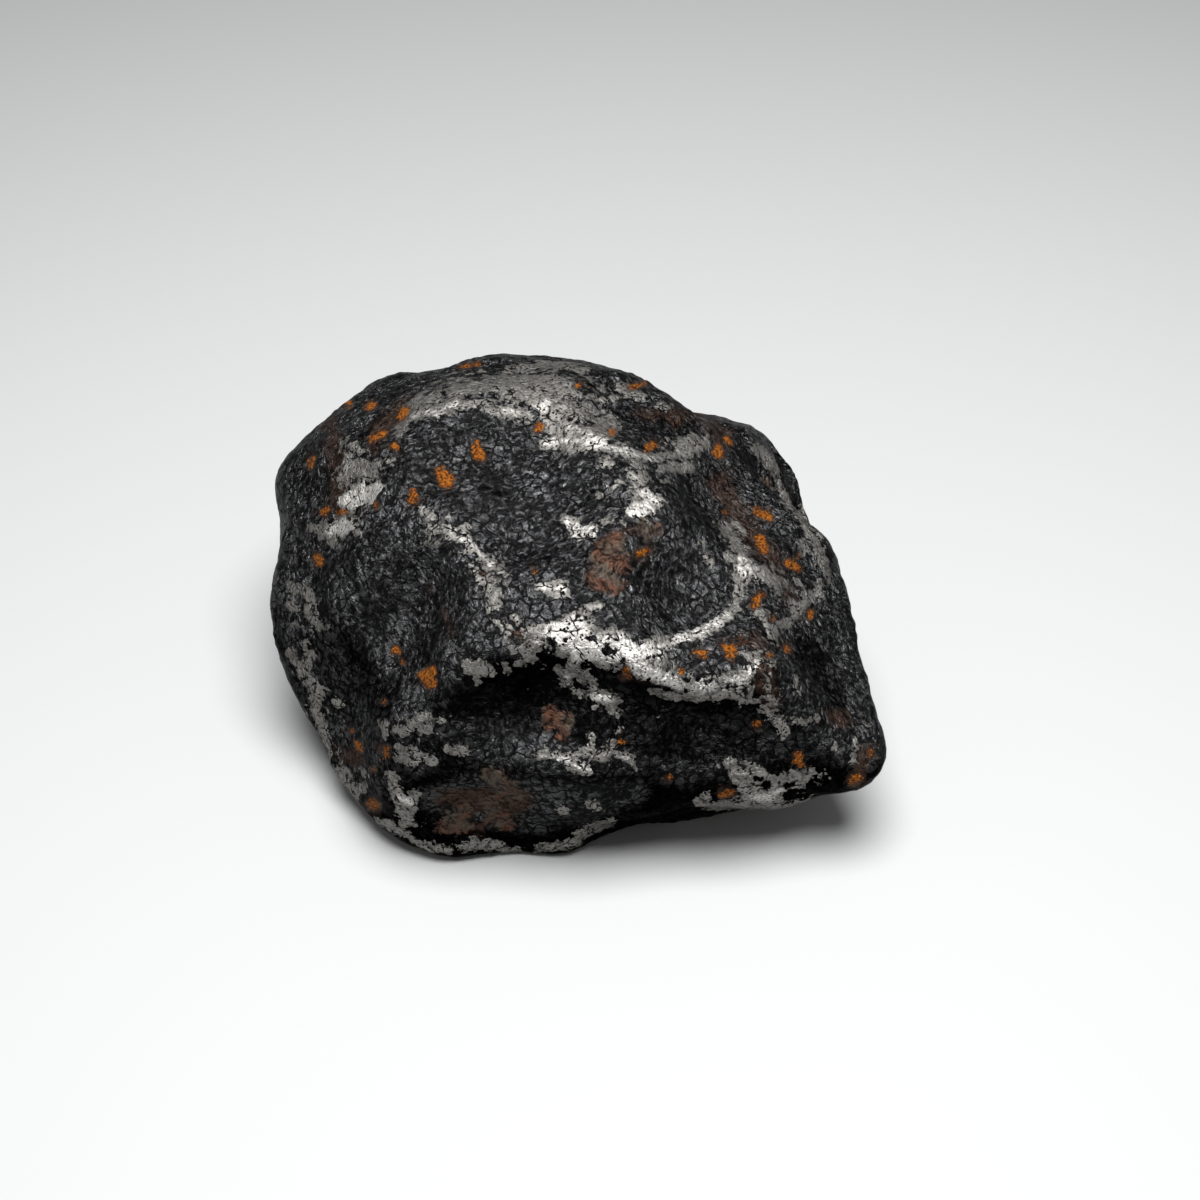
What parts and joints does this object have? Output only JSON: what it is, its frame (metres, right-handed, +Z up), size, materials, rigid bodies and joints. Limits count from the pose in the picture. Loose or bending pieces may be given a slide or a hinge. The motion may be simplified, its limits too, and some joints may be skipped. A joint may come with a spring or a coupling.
{
  "type": "iron meteorite",
  "caption": "Solid lump of natural iron with soft shoulders, thumbprint hollows all over, a low blunt nose at one end and a small flat spot underneath.",
  "frame": {"origin": "middle of the stone's bounding box, on the ground it rests on", "axes": "+X along its length towards the low nose, -Y towards the steep dark front, +Z up"},
  "size_m": [0.1204, 0.1054, 0.0704],
  "materials": {
    "meteorite_crust": "near-black leathery fusion crust, worn to silver-grey metal on ridges, with brown-red patches and small orange-brown grains"
  },
  "bodies": {
    "root": {"meteorite": "meteorite_crust"}
  },
  "joints": []
}
